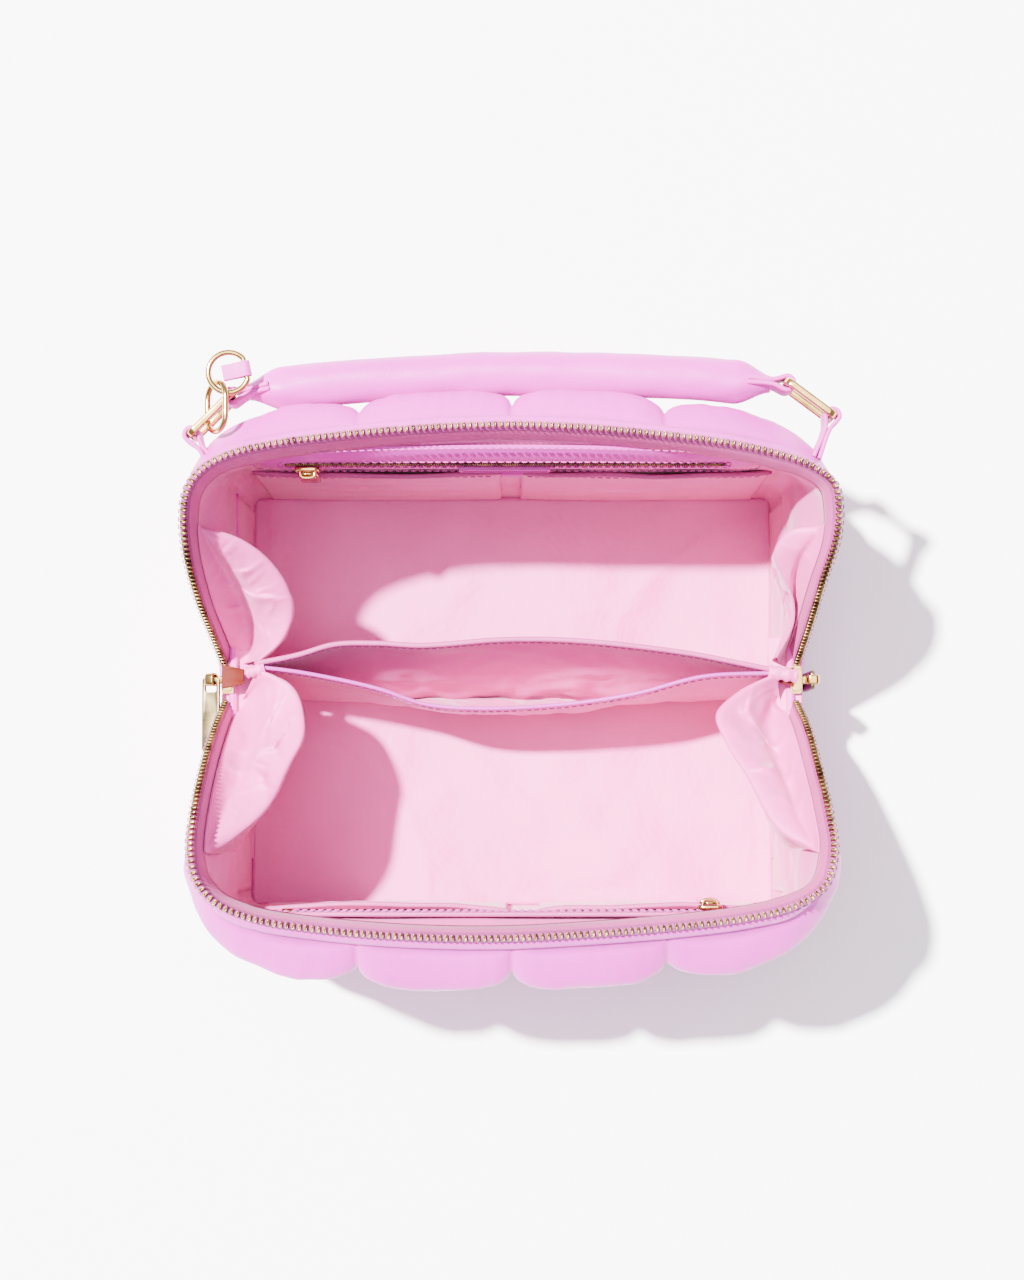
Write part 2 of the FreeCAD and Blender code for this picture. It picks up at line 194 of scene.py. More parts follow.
LEATHER = leather("orchid_leather", (0.61, 0.026, 0.455, 1), (0.51, 0.02, 0.38, 1))
LEATHER_EDGE = leather("leather_edge", (0.58, 0.035, 0.41, 1), (0.50, 0.028, 0.34, 1), 0.5)
BINDING = leather("binding_leather", (0.44, 0.035, 0.36, 1), (0.36, 0.028, 0.28, 1), 0.4, 0.3)
# Zip-end tabs: the dark brown-red colour is painted shade, for tabs that sit in shade at the waist.
SHADED_TAB_LEATHER = leather("zip_end_leather_painted_shade", (0.13, 0.018, 0.012, 1), (0.07, 0.009, 0.006, 1), 0.6, 1.0,
                      0.08)
LINING = cloth("lining_cloth", (0.70, 0.088, 0.38, 1), (0.63, 0.07, 0.34, 1), roughness=0.42, sheen=0.2)
FACING = cloth("facing_cloth", (0.44, 0.045, 0.24, 1), (0.38, 0.04, 0.20, 1), 0.0004, 0.1, 0.55, 0.2)
TAPE = cloth("zip_tape_cloth", (0.30, 0.03, 0.19, 1), (0.20, 0.02, 0.12, 1), 0.0006, 0.1, 0.7, 0.1)
# Plated gold: the base colour is darker than the real gold, to paint in the shade and dark reflections the fittings
# show. It is partly the real colour and partly painted shade.
GOLD = metal("gold_with_painted_shade", (0.66, 0.42, 0.15, 1), (0.44, 0.25, 0.07, 1), 0.14)
# Main zip pulls: the dark base colour is a painted dark reflection on the flat plates; the higher roughness is their
# brushed finish.
PULL_GOLD_PAINTED_REFLECTION = metal("brushed_gold_painted_dark_reflection", (0.20, 0.155, 0.075, 1), (0.13, 0.095, 0.045, 1), 0.3)
ROSE_GOLD = metal("rose_gold", (0.62, 0.28, 0.14, 1), (0.46, 0.18, 0.08, 1), 0.16)
TEETH = metal("antique_brass", (0.30, 0.19, 0.075, 1), (0.06, 0.032, 0.012, 1), 0.3)
THREAD = cloth("sewing_thread", (0.50, 0.06, 0.34, 1), (0.40, 0.045, 0.27, 1), 0.0003, 0.1, 0.7, 0.0)


# ----- mesh helpers

def add_object(name, data):
    item = bpy.data.objects.new(name, data)
    bpy.context.scene.collection.objects.link(item)
    return item


def new_piece(name, vertices, faces, material, smooth=True):
    mesh = bpy.data.meshes.new(name)
    mesh.from_pydata([tuple(v) for v in vertices], [], [tuple(f) for f in faces])
    mesh.validate()
    mesh.update()
    mesh.materials.append(material)
    for polygon in mesh.polygons:
        polygon.use_smooth = smooth
    return add_object(name, mesh)


def grid_piece(name, points, material, closed_u=False, closed_v=False):
    """Surface through a grid of points in mm, shape (nu, nv, 3)."""
    nu, nv = points.shape[:2]
    faces = []
    for i in range(nu if closed_u else nu - 1):
        for j in range(nv if closed_v else nv - 1):
            k, m = (i + 1) % nu, (j + 1) % nv
            faces.append((i * nv + j, k * nv + j, k * nv + m, i * nv + m))
    return new_piece(name, points.reshape(-1, 3) * MM, faces, material)


def bake(piece):
    """Replaces the mesh with the result of its modifiers."""
    graph = bpy.context.evaluated_depsgraph_get()
    mesh = bpy.data.meshes.new_from_object(piece.evaluated_get(graph))
    piece.modifiers.clear()
    piece.data = mesh
    return piece


def thicken(piece, thickness, offset=0.0):
    """Gives a surface a thickness in mm; offset -1 keeps it as the outer face."""
    solid = piece.modifiers.new("thickness", "SOLIDIFY")
    solid.thickness = thickness * MM
    solid.offset = offset
    return bake(piece)


def mix(a, b, start, end, t):
    return (end - t) / (end - start) * a + (t - start) / (end - start) * b


def spline(points, count):
    """Centripetal Catmull-Rom curve through the points, evenly spaced along its length."""
    p = np.array(points, float)
    p = np.vstack([2 * p[0] - p[1], p, 2 * p[-1] - p[-2]])
    out = []
    for i in range(1, len(p) - 2):
        a, b, c, d = p[i - 1:i + 3]
        t1 = max(norm(b - a), 1e-6) ** 0.5
        t2 = t1 + max(norm(c - b), 1e-6) ** 0.5
        t3 = t2 + max(norm(d - c), 1e-6) ** 0.5
        for t in np.linspace(t1, t2, 24, endpoint=False):
            a1, a2, a3 = mix(a, b, 0, t1, t), mix(b, c, t1, t2, t), mix(c, d, t2, t3, t)
            out.append(mix(mix(a1, a2, 0, t2, t), mix(a2, a3, t1, t3, t), t1, t2, t))
    out.append(p[-2])
    return resample(np.array(out), count)


def resample(points, count):
    length = np.concatenate([[0], np.cumsum(norm(np.diff(points, axis=0), axis=1))])
    wanted = np.linspace(0, length[-1], count)
    return np.stack([np.interp(wanted, length, points[:, k]) for k in range(3)], axis=1)


def path_length(points):
    return float(norm(np.diff(points, axis=0), axis=1).sum())


def tangents(path, closed=False):
    if closed:
        t = np.roll(path, -1, axis=0) - np.roll(path, 1, axis=0)
    else:
        t = np.gradient(path, axis=0)
    return t / norm(t, axis=1)[:, None]


def sweep(name, path, section, material, up=(0, 0, 1), closed=False, caps=True, sizes=None):
    """Sweeps a closed section (list of (side, up) in mm) along a path, keeping up upright."""
    t = tangents(path, closed)
    side = np.cross(t, np.array(up, float))
    side /= norm(side, axis=1)[:, None]
    top = np.cross(side, t)
    section = np.array(section, float)
    sizes = np.ones((len(path), 2)) if sizes is None else np.array(sizes, float)
    points = (path[:, None, :] + side[:, None, :] * (section[None, :, 0:1] * sizes[:, None, 0:1])
              + top[:, None, :] * (section[None, :, 1:2] * sizes[:, None, 1:2]))
    piece = grid_piece(name, points, material, closed_u=closed, closed_v=True)
    if caps and not closed:
        cap_ends(piece, len(path), len(section))
    return piece


def cap_ends(piece, rings, around):
    bm = bmesh.new()
    bm.from_mesh(piece.data)
    bm.verts.ensure_lookup_table()
    bm.faces.new([bm.verts[j] for j in range(around)][::-1])
    bm.faces.new([bm.verts[(rings - 1) * around + j] for j in range(around)])
    bmesh.ops.recalc_face_normals(bm, faces=bm.faces)
    bm.to_mesh(piece.data)
    bm.free()


def circle(radius, count=16, flat=1.0):
    angles = [2 * pi * k / count for k in range(count)]
    return [(radius * cos(a), radius * flat * sin(a)) for a in angles]


def rounded_box(width, height, radius, steps=4):
    """Closed outline of a rounded rectangle, centred."""
    out = []
    for cx, cy, start in ((1, 1, 0), (-1, 1, 90), (-1, -1, 180), (1, -1, 270)):
        for k in range(steps + 1):
            a = radians(start + 90 * k / steps)
            out.append((cx * (width / 2 - radius) + radius * cos(a),
                        cy * (height / 2 - radius) + radius * sin(a)))
    return out


def join(name, pieces):
    """One object from several."""
    bpy.ops.object.select_all(action="DESELECT")
    for piece in pieces:
        piece.select_set(True)
    bpy.context.view_layer.objects.active = pieces[0]
    bpy.ops.object.join()
    pieces[0].name = name
    pieces[0].data.name = name
    return pieces[0]


def wobble(point, scale, size):
    """Smooth offset in mm for a point in mm."""
    return noise.noise(Vector(point) * scale) * size


def crumple(point, scale, size):
    """Sharp-crested folds in mm, as in crushed satin."""
    ridge = 1 - abs(noise.noise(Vector(point) * scale)) * 2.6
    return max(ridge, 0.0) ** 2.5 * size


def smooth01(t):
    t = min(max(t, 0.0), 1.0)
    return t * t * (3 - 2 * t)


def tube_faces(faces, first, rings, around):
    """Faces of a closed tube whose rings of vertices follow each other from first."""
    for ring in range(rings - 1):
        low = first + ring * around
        for k in range(around):
            m = (k + 1) % around
            faces.append((low + k, low + m, low + around + m, low + around + k))
    last = first + (rings - 1) * around
    faces.append([first + k for k in range(around)][::-1])
    faces.append([last + k for k in range(around)])


def signed_power(value, power):
    return copysign(abs(value) ** power, value)


def closed_loop(points, count):
    """Evenly spaced points round a closed line, the first one not repeated."""
    points = np.array(points, float)
    return resample(np.vstack([points, points[:1]]), count + 1)[:-1]


def grid(nu, nv, point):
    """Grid of points from a function of two shares from 0 to 1."""
    return np.array([[point(i / (nu - 1), j / (nv - 1)) for j in range(nv)] for i in range(nu)], float)


def attach(piece, slot, body, *nodes):
    """Hides the CAD nodes a piece stands for and parents it to its body's empty; a half's pieces only get their
    transform baked. The slot is not used.
    """
    if nodes:
        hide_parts(*nodes)
    if body.endswith("_half"):
        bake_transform(piece)
    else:
        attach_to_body(piece, body)


def cloth_sheet(piece, thickness, flat, held, rest, body, *nodes, slot="lining_cloth"):
    """Thickens a sheet by a thickness in mm and attaches it; the flat size, how it is held and what it rests on are
    not used.
    """
    thicken(piece, thickness)
    attach(piece, slot, body, *nodes)


def stitches(name, path, normal, material=None, pitch=3.2, length=2.3, radius=0.28):
    """A row of short sewn stitches lying on a surface along a path in mm."""
    path = resample(path, max(3, int(path_length(path) / pitch) * 2))
    normal = np.array(normal, float)
    if normal.ndim == 1:
        normal = np.tile(normal, (len(path), 1))
    else:
        rows = np.linspace(0, len(normal) - 1, len(path)).round().astype(int)
        normal = normal[rows]
    t = tangents(path)
    vertices, faces = [], []
    around = 6
    for i in range(0, len(path) - 1, 2):
        n = normal[i] / norm(normal[i])
        side = np.cross(t[i], n)
        side = side / norm(side)
        rings = ((-0.5, 0.35, -0.15), (-0.36, 1.0, 0.05), (0.0, 1.1, 0.22), (0.36, 1.0, 0.05), (0.5, 0.35, -0.15))
        first = len(vertices)
        for along, fat, lift in rings:
            middle = path[i] + t[i] * along * length + n * lift * radius
            for k in range(around):
                a = 2 * pi * k / around
                vertices.append(middle + (side * cos(a) + n * sin(a)) * radius * fat)
        tube_faces(faces, first, len(rings), around)
    return new_piece(name, np.array(vertices) * MM, faces, material or THREAD)


# ----- plan geometry

def plan_point(x, y, plan):
    """Point of a rounded rectangle that a point of the zip line stands over, and its normal."""
    cx, cy, radius = plan
    sx, sy = copysign(1, x), copysign(1, y)
    ax, ay = abs(x), abs(y)
    if ax > RIM[0] and ay > RIM[1]:
        d = Vector((ax - RIM[0], ay - RIM[1])).normalized()
        out = (cx + radius * d.x, cy + radius * d.y)
        normal = (d.x, d.y)
        run = cx + radius * atan2(d.x, d.y)
    elif ay > RIM[1]:
        out = (ax * cx / RIM[0], cy + radius)
        normal = (0.0, 1.0)
        run = out[0]
    else:
        out = (cx + radius, ay * cy / RIM[1])
        normal = (1.0, 0.0)
        run = cx + radius * pi / 2 + cy - out[1]
    return np.array([sx * out[0], sy * out[1]]), np.array([sx * normal[0], sy * normal[1]]), run


def rim_normals(path):
    """Outward directions in plan at the points of a zip line."""
    return np.array([(*plan_point(x, y, OUTER)[1], 0.0) for x, y, z in path])


def cell_profile(s):
    """Height of a stuffed cell across its width, 0 at both seams and 1 in the middle."""
    s = min(max(s, 0.0), 1.0)
    return (1 - abs(2 * s - 1) ** 3.6) ** 0.5


def column_cell(run):
    """(position across the cell, depth share) for a distance along the plan from the middle."""
    if run < CELL_SEAM:
        return run / CELL_SEAM, 1.0
    if run < CORNER_END:
        s = (run - CELL_SEAM) / (CORNER_END - CELL_SEAM)
        return s, 0.95 - 0.62 * smooth01((s - 0.25) / 0.6)
    s = min(1.0, (run - CORNER_END) / 74.0)
    return s, 0.34 * (1 - smooth01(s * 2.2))


def depth_at(run, z, top, top_depth):
    """How far the quilted surface stands out at a height; top is where the cells begin."""
    s, share = column_cell(run)
    across = cell_profile(s)
    bounds = [b for b in WALL_SEAMS_Z if b < top - 12] + [top]
    row = 0
    while row < len(bounds) - 2 and z > bounds[row + 1]:
        row += 1
    low, high = bounds[row], bounds[row + 1]
    depth = (ROW_DEPTHS + (top_depth,))[row]
    if high == top and high - low < 40:
        depth *= (high - low) / 40
    height = (z - low) / max(high - low, 1e-6)
    upright = cell_profile(height ** 0.92 if height > 0 else 0)
    base = SEAM_SHARE * (smooth01((top - z) / 12) * smooth01((z - 1) / 8))
    return depth * share * (base + (1 - SEAM_SHARE) * across * upright)


def shell(prefix, rim, top_depth, body):
    """Quilted outer leather of one half: a band under the zip, then rows of puffed cells."""
    columns = 430
    rim_path = spline(rim, columns)
    band = [(3.4, 1.2), (4.2, 2.4), (5.4, 3.6), (6.8, 4.5), (8.0, 4.8), (8.8, 4.0), (9.4, 2.4)]
    steps = 92
    points = np.zeros((columns, len(band) + steps, 3))
    for i, (x, y, z) in enumerate(rim_path):
        base, normal, run = plan_point(x, y, OUTER)
        inside = abs(y) < OUTER[1] + 8 and abs(base[0]) > OUTER[0]
        low = TUCK_Z if inside else 2.0
        side = smooth01((OUTER[1] + OUTER[2] - abs(base[1])) / 20) if abs(base[0]) > OUTER[0] else 0.0
        for j, (drop, out) in enumerate(band):
            out *= 1 - 0.7 * side
            points[i, j] = (x + normal[0] * out, y + normal[1] * out, z - drop)
        top = z - band[-1][0]
        for j in range(steps):
            v = (j + 1) / steps
            height = top + (low - top) * v
            lean = 1 - (height - 2.0) / (z - 2.0)
            reach = 3.2 * (1 - 0.8 * side) * (1 - v)
            px = x + (base[0] - x) * lean ** 0.8 + normal[0] * reach
            py = y + (base[1] - y) * lean ** 0.8 + normal[1] * reach
            puff = depth_at(run, height, top, top_depth)
            if low < 5:
                puff -= 2.5 * smooth01((6 - height) / 4)
            puff += wobble((px, py, height), 0.045, 1.1) * min(1.0, max(puff, 0) / 6)
            puff += wobble((px * 1.3, py * 1.3, height * 0.7), 0.16, 0.5) * min(1.0, max(puff, 0) / 4)
            points[i, len(band) + j] = (px + normal[0] * puff, py + normal[1] * puff, height)
    piece = grid_piece(prefix + "_quilted_shell", points, LEATHER)
    thicken(piece, 1.2, -1.0 if prefix == "rear" else 1.0)
    nodes = [prefix + part for part in ("_outer_shell", "_foam", "_rim_band", "_wing_left", "_wing_right")]
    attach(piece, "outer_leather", body, *nodes)
    normals = rim_normals(rim_path)
    seam = rim_path + normals * 2.4 - UP * 4.6
    sew = stitches(prefix + "_rim_stitches", seam, normals + UP * 0.8, pitch=3.4)
    attach(sew, "outer_leather", body)
    return rim_path


def zip_edge(prefix, rim_path, body):
    """Zip tape folded over the edge and its row of metal teeth."""
    normals = rim_normals(rim_path)
    section = ((1.7, -5.0), (1.5, -2.6), (0.7, -1.0), (-0.5, -0.9), (-1.5, -2.4), (-2.0, -5.0), (-2.3, -11.0))
    points = np.stack([rim_path + normals * out + UP * up for out, up in section], axis=1)
    tape = grid_piece(prefix + "_zip_tape_cloth", points, TAPE)
    cloth_sheet(tape, 0.5, (path_length(rim_path), TAPE_WIDTH), "stretched", prefix + "_quilted_shell", body,
                prefix + "_zip_tape", slot="zip_tape")
    seats = resample(rim_path, int(path_length(rim_path) / TOOTH_PITCH))
    vertices, faces = [], []
    for seat, along, n in zip(seats, tangents(seats), rim_normals(seats)):
        across = n - along * float(n @ along)
        across /= norm(across)
        up = np.cross(across, along)
        add_tooth(vertices, faces, seat, along, across, up * copysign(1, up[2]))
    teeth = new_piece(prefix + "_metal_teeth", np.array(vertices) * MM, faces, TEETH)
    attach(teeth, "zip_teeth", body, prefix + "_zip_teeth")


def add_tooth(vertices, faces, seat, along, across, up, size=1.0):
    """One metal tooth: a clamp with a rounded head and a dimple in its top."""
    rings = ((1.1, 0.5, -2.2), (1.4, 0.56, -1.9), (1.45, 0.58, 0.4), (1.3, 0.52, 0.95), (1.0, 0.4, 1.15),
             (0.75, 0.26, 0.5))
    around = 8
    first = len(vertices)
    for half_across, half_along, height in rings:
        for k in range(around):
            a = 2 * pi * (k + 0.5) / around
            x = signed_power(cos(a), 0.6) * half_across * size
            y = signed_power(sin(a), 0.6) * half_along * size
            vertices.append(seat + across * x + along * y + up * height * size)
    tube_faces(faces, first, len(rings), around)


# ----- lining

def wall_lean(x, z):
    """How far the lined wall leans back from upright near its top, mm."""
    return 4.6 * smooth01((z - 132) / 15) * max(0.0, 1 - (x / 128) ** 2)


def lining(prefix, rim_path, body):
    """Facing band under the zip and the lining of the long wall and its corners."""
    rows, low = 60, 9.5
    normals = rim_normals(rim_path)
    steps = ((1.0, 3.0), (2.0, 4.5), (2.9, 8.0), (3.6, 12.0), (4.2, 15.0))
    facing = np.stack([rim_path - normals * inward - UP * drop for inward, drop in steps], axis=1)
    edge = grid_piece(prefix + "_facing", facing, FACING)
    cloth_sheet(edge, 0.5, (path_length(rim_path), FACING_WIDTH), "stretched", prefix + "_quilted_shell", body)
    keep = [i for i, (x, y, z) in enumerate(rim_path) if abs(y) > 58]
    points = np.zeros((len(keep), rows, 3))
    for k, i in enumerate(keep):
        x, y, z = rim_path[i]
        base, normal, _ = plan_point(x, y, INNER)
        start = rim_path[i] - normals[i] * 4.0 - UP * 14
        for j in range(rows):
            v = j / (rows - 1)
            height = start[2] + (low - start[2]) * v
            pull = smooth01(v / 0.3) * 0.8 + 0.2 * v
            px = start[0] + (base[0] - start[0]) * pull
            py = start[1] + (base[1] - start[1]) * pull
            wall_y = copysign(WALL_Y + wall_lean(px, height), y)
            flat = smooth01((112 - abs(px)) / 10) * smooth01(v / 0.03)
            py += (wall_y - py) * flat
            here = (px, py, height)
            slack = sin(pi * v) * (wobble(here, 0.03, 2.2) + wobble(here, 0.08, 0.8))
            slack = min(slack, 0.6) if flat > 0.5 else slack
            points[k, j] = (px - normal[0] * slack, py - normal[1] * slack, height)
    wall = grid_piece(prefix + "_lining_cloth", points, LINING)
    cloth_sheet(wall, 0.5, (path_length(points[:, rows // 2]), LINING_HEIGHT), "stretched",
                prefix + "_quilted_shell", body, prefix + "_lining", prefix + "_pocket_bag")


def side_linings():
    """Lining of the fixed side panels, folded over their top edge, and a patch under each end of the zip."""
    parts = []
    profile = spline([(118.2, 0, 9), (118.4, 0, 40), (118.6, 0, 67), (118.8, 0, 70.6), (119.6, 0, 71.6),
                      (120.8, 0, 71.6)], 40)
    for side in (-1, 1):
        points = [[(side * (x + wobble((x, y, z), 0.05, 0.8)), y, z + wobble((y, x, 9), 0.09, 0.4))
                   for x, _, z in profile] for y in np.linspace(-86, 86, 70)]
        parts.append(thicken(grid_piece("lining", np.array(points), LINING), 0.5))

        def patch(u, v):
            x, y = 111 + 14.5 * u, -17 + 42 * v
            return side * x, y, 69.6 + wobble((x, y, 2), 0.1, 0.5) - 2.0 * (1 - u)

        parts.append(thicken(grid_piece("patch", grid(20, 30, patch), LINING), 0.5))
    piece = join("side_lining_cloth", parts)
    attach(piece, "lining_cloth", "base", "side_linings")


def floor_lining():
    cx, cy, radius = INNER
    half_x, half_y = cx + radius, cy + radius

    def point(u, v):
        x, y = half_x * (2 * u - 1), half_y * (2 * v - 1)
        z = 9.0 + wobble((x, y, 0), 0.02, 2.6) + wobble((x, y, 5), 0.055, 0.8) + crumple((x, y, 30), 0.012, 1.4)
        edge = min(half_x - abs(x), half_y - abs(y))
        return x, y, z + 1.6 * (1 - smooth01(edge / 6))

    piece = grid_piece("floor_cloth", grid(100, 80, point), LINING)
    cloth_sheet(piece, 0.5, (2 * half_x, 2 * half_y), "laid", "base_tray", "base", "floor_lining")


def gusset(name, seam, crest, foot, dip, body, *nodes):
    """Loose fold at the end of a compartment: from the facing seam over a crest to the floor."""
    columns, rows = 90, 84
    seam, crest, foot = (spline(line, columns) for line in (seam, crest, foot))
    points = np.zeros((columns, rows, 3))
    for i in range(columns):
        u = i / (columns - 1)
        s, c, f = seam[i], crest[i], foot[i]
        inward = -copysign(1, f[0])
        sag = dip * sin(pi * min(1, u * 1.05)) ** 0.8
        valley = s + (c - s) * 0.3 - UP * sag
        shoulder = s + (c - s) * 0.52 - UP * sag * 0.3
        lip = c + np.array([inward * 0.6, 0, -3.5])
        under = c + (f - c) * 0.3 + np.array([inward * 0.5, 0, -4.0])
        lower = c + (f - c) * 0.7 + np.array([inward * -2.0, 0, 0])
        section = spline([s, valley, shoulder, c, lip, under, lower, f], rows)
        crest_row = int(norm(section - c, axis=1).argmin())
        for j in range(rows):
            free = sin(pi * min(1.0, j / (rows - 1) * 1.4)) if j < crest_row else 0.8
            free = abs(free) * smooth01(abs(j - crest_row) / 9) * sin(pi * u) ** 0.4
            free *= smooth01((rows - 1 - j) / 12) * smooth01(j / 4)
            fold = wobble(section[j], 0.06, 3.4) + wobble(section[j], 0.15, 1.2)
            fold += crumple(section[j], 0.05, 5.5) + crumple(section[j] + 50, 0.11, 2.6)
            way = np.array([inward * 0.25, 0.1, 0.95])
            if j >= crest_row:
                fold = -abs(fold)
                way = np.array([inward * 0.8, 0, 0])
            points[i, j] = section[j] + way * fold * free
    piece = grid_piece(name, points, LINING)
    smooth = piece.modifiers.new("smooth", "SUBSURF")
    smooth.levels = smooth.render_levels = 1
    width = float(np.mean([path_length(line) for line in points]))
    length = float(np.mean([path_length(points[:, j]) for j in range(rows)]))
    cloth_sheet(piece, 0.45, (length, width), "gathered", "floor_cloth", body, *nodes)


def seam_line(rim_path, side, sign, limit):
    """Part of the facing seam on one side between the waist and a distance from it, waist last."""
    line = [p for p in rim_path if p[0] * side > 0 and abs(p[0]) > 105 and p[1] * sign < limit]
    line = sorted(line, key=lambda p: -p[1] * sign)
    return [(p[0] - side * 4.4, p[1], p[2] - 12.5) for p in line[::6]] + [
        (line[-1][0] - side * 6, line[-1][1], line[-1][2] - 6)]


# For each gusset: half, side, where its seam ends, crest from the rim to the waist, foot, and depth of its pouch
GUSSETS = (
    ("rear", "left", 66, [(-127, 65, 133), (-114, 62, 126), (-102, 54, 117), (-94, 42, 106), (-93, 33, 98),
                          (-98, 22, 90), (-108, 14, 83)], [(-117.5, 70, 10), (-117, 40, 10), (-116, 13, 10)], 17),
    ("rear", "right", 66, [(126, 66, 132), (114, 64, 128), (109, 55, 121), (113, 47, 115), (118, 38, 105),
                           (119, 29, 95), (113, 15, 83)], [(117.5, 70, 10), (117.5, 40, 10), (116.5, 13, 10)], 12),
    ("front", "left", 68, [(-122, -68, 132), (-113, -61, 127), (-101, -49, 119), (-93, -31, 108), (-88, -19, 101),
                           (-90, -5, 92), (-95, 3, 87), (-109, 10, 83)],
     [(-117.5, -72, 10), (-117, -40, 10), (-116, -4, 10)], 9),
    ("front", "right", 68, [(121, -66, 133), (109, -58, 127), (98, -36, 112), (90, -21, 101), (87, -10, 94),
                            (97, 0, 88), (113, 8, 83)], [(117.5, -72, 10), (117, -40, 10), (114, 2, 10)], 16),
)


def gussets(rims):
    for half, name, limit, crest, foot, dip in GUSSETS:
        seam = seam_line(rims[half], -1 if name == "left" else 1, 1 if half == "rear" else -1, limit)
        nodes = [half + "_gussets"] if name == "left" else []
        gusset(half + "_gusset_" + name, seam, crest, foot, dip, half + "_half", *nodes)


# ----- divider

def divider_sheet(name, top, low_z, bulge, node):
    columns, rows = 110, 44
    edge = spline(top, columns)
    points = np.zeros((columns, rows, 3))
    for i in range(columns):
        u = i / (columns - 1)
        for j in range(rows):
            v = j / (rows - 1)
            height = edge[i, 2] + (low_z - edge[i, 2]) * v
            base_y = 1.0 + 0.5 * copysign(1, bulge)
            y = edge[i, 1] + (base_y - edge[i, 1]) * smooth01(v * 1.1)
            y += bulge * sin(pi * v) * sin(pi * u) ** 0.7
            slack = sin(pi * u) * (0.35 + 0.65 * v)
            y += wobble((edge[i, 0], 0, height + bulge * 9), 0.045, 3.0) * slack
            y += wobble((edge[i, 0], 9, height), 0.12, 1.2) * slack
            points[i, j] = (edge[i, 0], y, height)
    piece = grid_piece(name, points, LINING)
    tall = float(edge[:, 2].mean()) - low_z
    cloth_sheet(piece, 0.9, (path_length(edge), tall), "hung", "floor_cloth", "base", node)
    return edge


def divider():
    """Middle pocket: two sheets that meet at the ends and gape in the middle."""
    rear_top = [(-110, 12.5, 82), (-92, 16, 83), (-76, 20.5, 84), (-58, 21, 85), (-38, 20, 86), (-3, 22.5, 86),
                (28, 22, 86), (74, 17, 84), (98, 12.5, 83), (113, 9.5, 82)]
    front_top = [(-108, 11, 81), (-89, 8.5, 80), (-58, 2, 78), (-38, -4.5, 76), (-16, -6.5, 76), (20, -5, 76),
                 (52, -0.5, 78), (82, 7, 80), (112, 8.5, 81)]
    rear_edge = divider_sheet("divider_rear_cloth", rear_top, 9.0, 3.0, "divider_rear_panel")
    front_edge = divider_sheet("divider_front_cloth", front_top, 9.0, -4.0, "divider_front_panel")
    hem = sweep("divider_rear_hem", rear_edge - UP * 2.2, rounded_box(2.2, 6.4, 1.0), FACING)
    attach(hem, "lining_cloth", "base")
    binding = sweep("divider_front_binding", front_edge - UP, rounded_box(1.7, 5.0, 0.8), BINDING)
    attach(binding, "binding_leather", "base", "divider_binding")
    for edge, name, depth in ((rear_edge, "rear", 4.2), (front_edge, "front", 3.0)):
        row = stitches("divider_" + name + "_sewing", edge + np.array([0, -1.25, -depth]), (0, -1, 0))
        attach(row, "lining_cloth", "base")
    tubes = []
    for side, x0, x1, y in ((-1, -114, -106, 10.5), (1, 122.5, 110, 9.0)):
        path = spline([(x0, y - 2, 80.8), ((x0 + x1) / 2, y - 1, 81.8), (x1, y, 81.5)], 24)
        swell = [(1.0 + 0.12 * sin(k * 0.9), 1.0 + 0.1 * cos(k * 0.7)) for k in range(24)]
        swell[:2] = [(0.45, 0.45), (0.85, 0.85)]
        tubes.append(sweep("tube", path, circle(2.5 if side < 0 else 2.9, 18, 0.9), LINING, sizes=swell))
    ends = join("divider_pinched_ends", tubes)
    attach(ends, "lining_cloth", "base", "divider_end_tubes")


# ----- base

def base_tray():
    """Outer bottom with a soft piped edge."""
    outline = closed_loop([(x, y, 0) for x, y in rounded_box(252, 196, 24, 12)], 240)
    profile = [(0.5, 0.0), (0.965, 0.0), (0.985, 0.4), (0.998, 1.6), (1.0, 3.4), (0.995, 5.2), (0.975, 6.2),
               (0.9, 6.4)]
    points = np.array([outline * share + UP * z for share, z in profile])
    tray = grid_piece("base_tray", points, LEATHER_EDGE, closed_v=True)
    cap_ends(tray, *points.shape[:2])
    attach(tray, "outer_leather", "base", "base_panel", "base_board")


def side_panels():
    """Fixed quilted end panels, two rows of four cells, drawn in towards their piped top edge."""
    cell = SIDE_LENGTH / 4
    for side, name in ((-1, "left"), (1, "right")):
        def point(u, v):
            y, z = SIDE_LENGTH * (u - 0.5), 3.5 + 66.5 * v
            tuck = smooth01((z - 36) / 32)
            puff = (3.8 - 2.3 * tuck) * cell_profile((abs(y) % cell) / cell)
            puff *= cell_profile(2 * v if v < 0.5 else 2 * v - 1)
            puff += wobble((y, z, 3), 0.06, 0.8) * min(1, puff / 3)
            return side * (125.8 - 5.8 * tuck + puff), y, z

        panel = grid_piece("side_panel_quilted_" + name, grid(90, 46, point), LEATHER)
        thicken(panel, 1.4, side)
        attach(panel, "outer_leather", "base", "side_panel_" + name)
        path = spline([(side * 120.6, y, 70.2 + 0.2 * sin(y * 0.2)) for y in (-87, -45, 0, 45, 87)], 80)
        attach(sweep("side_piping_" + name, path, circle(1.7, 12), LEATHER), "outer_leather", "base")


